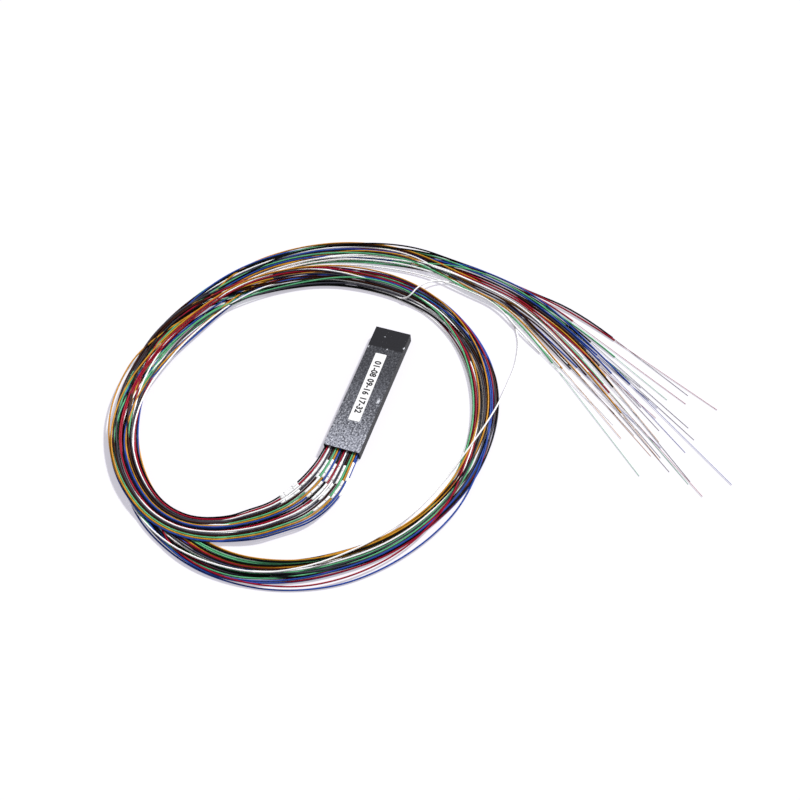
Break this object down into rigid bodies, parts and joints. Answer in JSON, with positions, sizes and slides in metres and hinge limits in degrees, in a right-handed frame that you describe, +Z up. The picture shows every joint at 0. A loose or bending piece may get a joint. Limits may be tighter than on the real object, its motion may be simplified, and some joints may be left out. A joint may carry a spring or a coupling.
{
  "type": "plc fibre splitter",
  "caption": "Flat rectangular module that splits one optical fibre into many, with a label on top and a loose coil of coloured jacketed fibres leaving one end.",
  "frame": {"origin": "centre of the housing's underside", "axes": "+X along the housing towards the end that the fibres leave, +Y across it, +Z up"},
  "size_m": [0.2311, 0.3282, 0.0061],
  "materials": {
    "black_anodised": "black anodised, fine grain",
    "black_plastic": "moulded, matte",
    "label_film": "white printed film",
    "pad_silicone": "soft silicone",
    "array_glass": "polished glass",
    "coated_fibre": "thin coloured coating",
    "ribbon_matrix": "clear ribbon matrix",
    "sleeve_white": "white sleeve with a printed number",
    "coil_bundle": "bundle of coloured jackets",
    "jacket_blue": "glossy extruded jacket",
    "jacket_orange": "glossy extruded jacket",
    "jacket_green": "glossy extruded jacket",
    "jacket_brown": "glossy extruded jacket",
    "jacket_slate": "glossy extruded jacket",
    "jacket_white": "glossy extruded jacket",
    "jacket_red": "glossy extruded jacket",
    "jacket_black": "glossy extruded jacket"
  },
  "bodies": {
    "root": {"housing_tube": "black_anodised", "rear_plug": "black_plastic", "front_seal": "black_plastic", "label": "label_film", "chip_pad_rear": "pad_silicone", "chip_pad_front": "pad_silicone", "plc_chip": "array_glass", "chip_input_lid": "array_glass", "chip_output_lid": "array_glass", "input_array_block": "array_glass", "input_array_lid": "array_glass", "output_array_block": "array_glass", "output_array_lid": "array_glass", "input_lead": "coated_fibre", "bare_fibre_tips": "coated_fibre", "fibre_ribbon_1": "ribbon_matrix", "fibre_ribbon_2": "ribbon_matrix", "fibre_ribbon_3": "ribbon_matrix", "fibre_ribbon_4": "ribbon_matrix", "number_sleeves": "sleeve_white", "fibre_coil": "coil_bundle", "input_fibre": "jacket_white", "output_fibre_01": "jacket_blue", "output_fibre_02": "jacket_orange", "output_fibre_03": "jacket_green", "output_fibre_04": "jacket_brown", "output_fibre_05": "jacket_slate", "output_fibre_06": "jacket_white", "output_fibre_07": "jacket_red", "output_fibre_08": "jacket_black", "output_fibre_09": "jacket_blue", "output_fibre_10": "jacket_orange", "output_fibre_11": "jacket_green", "output_fibre_12": "jacket_brown", "output_fibre_13": "jacket_slate", "output_fibre_14": "jacket_white", "output_fibre_15": "jacket_red", "output_fibre_16": "jacket_black", "output_fibre_17": "jacket_blue", "output_fibre_18": "jacket_orange", "output_fibre_19": "jacket_green", "output_fibre_20": "jacket_brown", "output_fibre_21": "jacket_slate", "output_fibre_22": "jacket_white", "output_fibre_23": "jacket_red", "output_fibre_24": "jacket_black", "output_fibre_25": "jacket_blue", "output_fibre_26": "jacket_orange", "output_fibre_27": "jacket_green", "output_fibre_28": "jacket_brown", "output_fibre_29": "jacket_slate", "output_fibre_30": "jacket_white", "output_fibre_31": "jacket_red", "output_fibre_32": "jacket_black"}
  },
  "joints": []
}
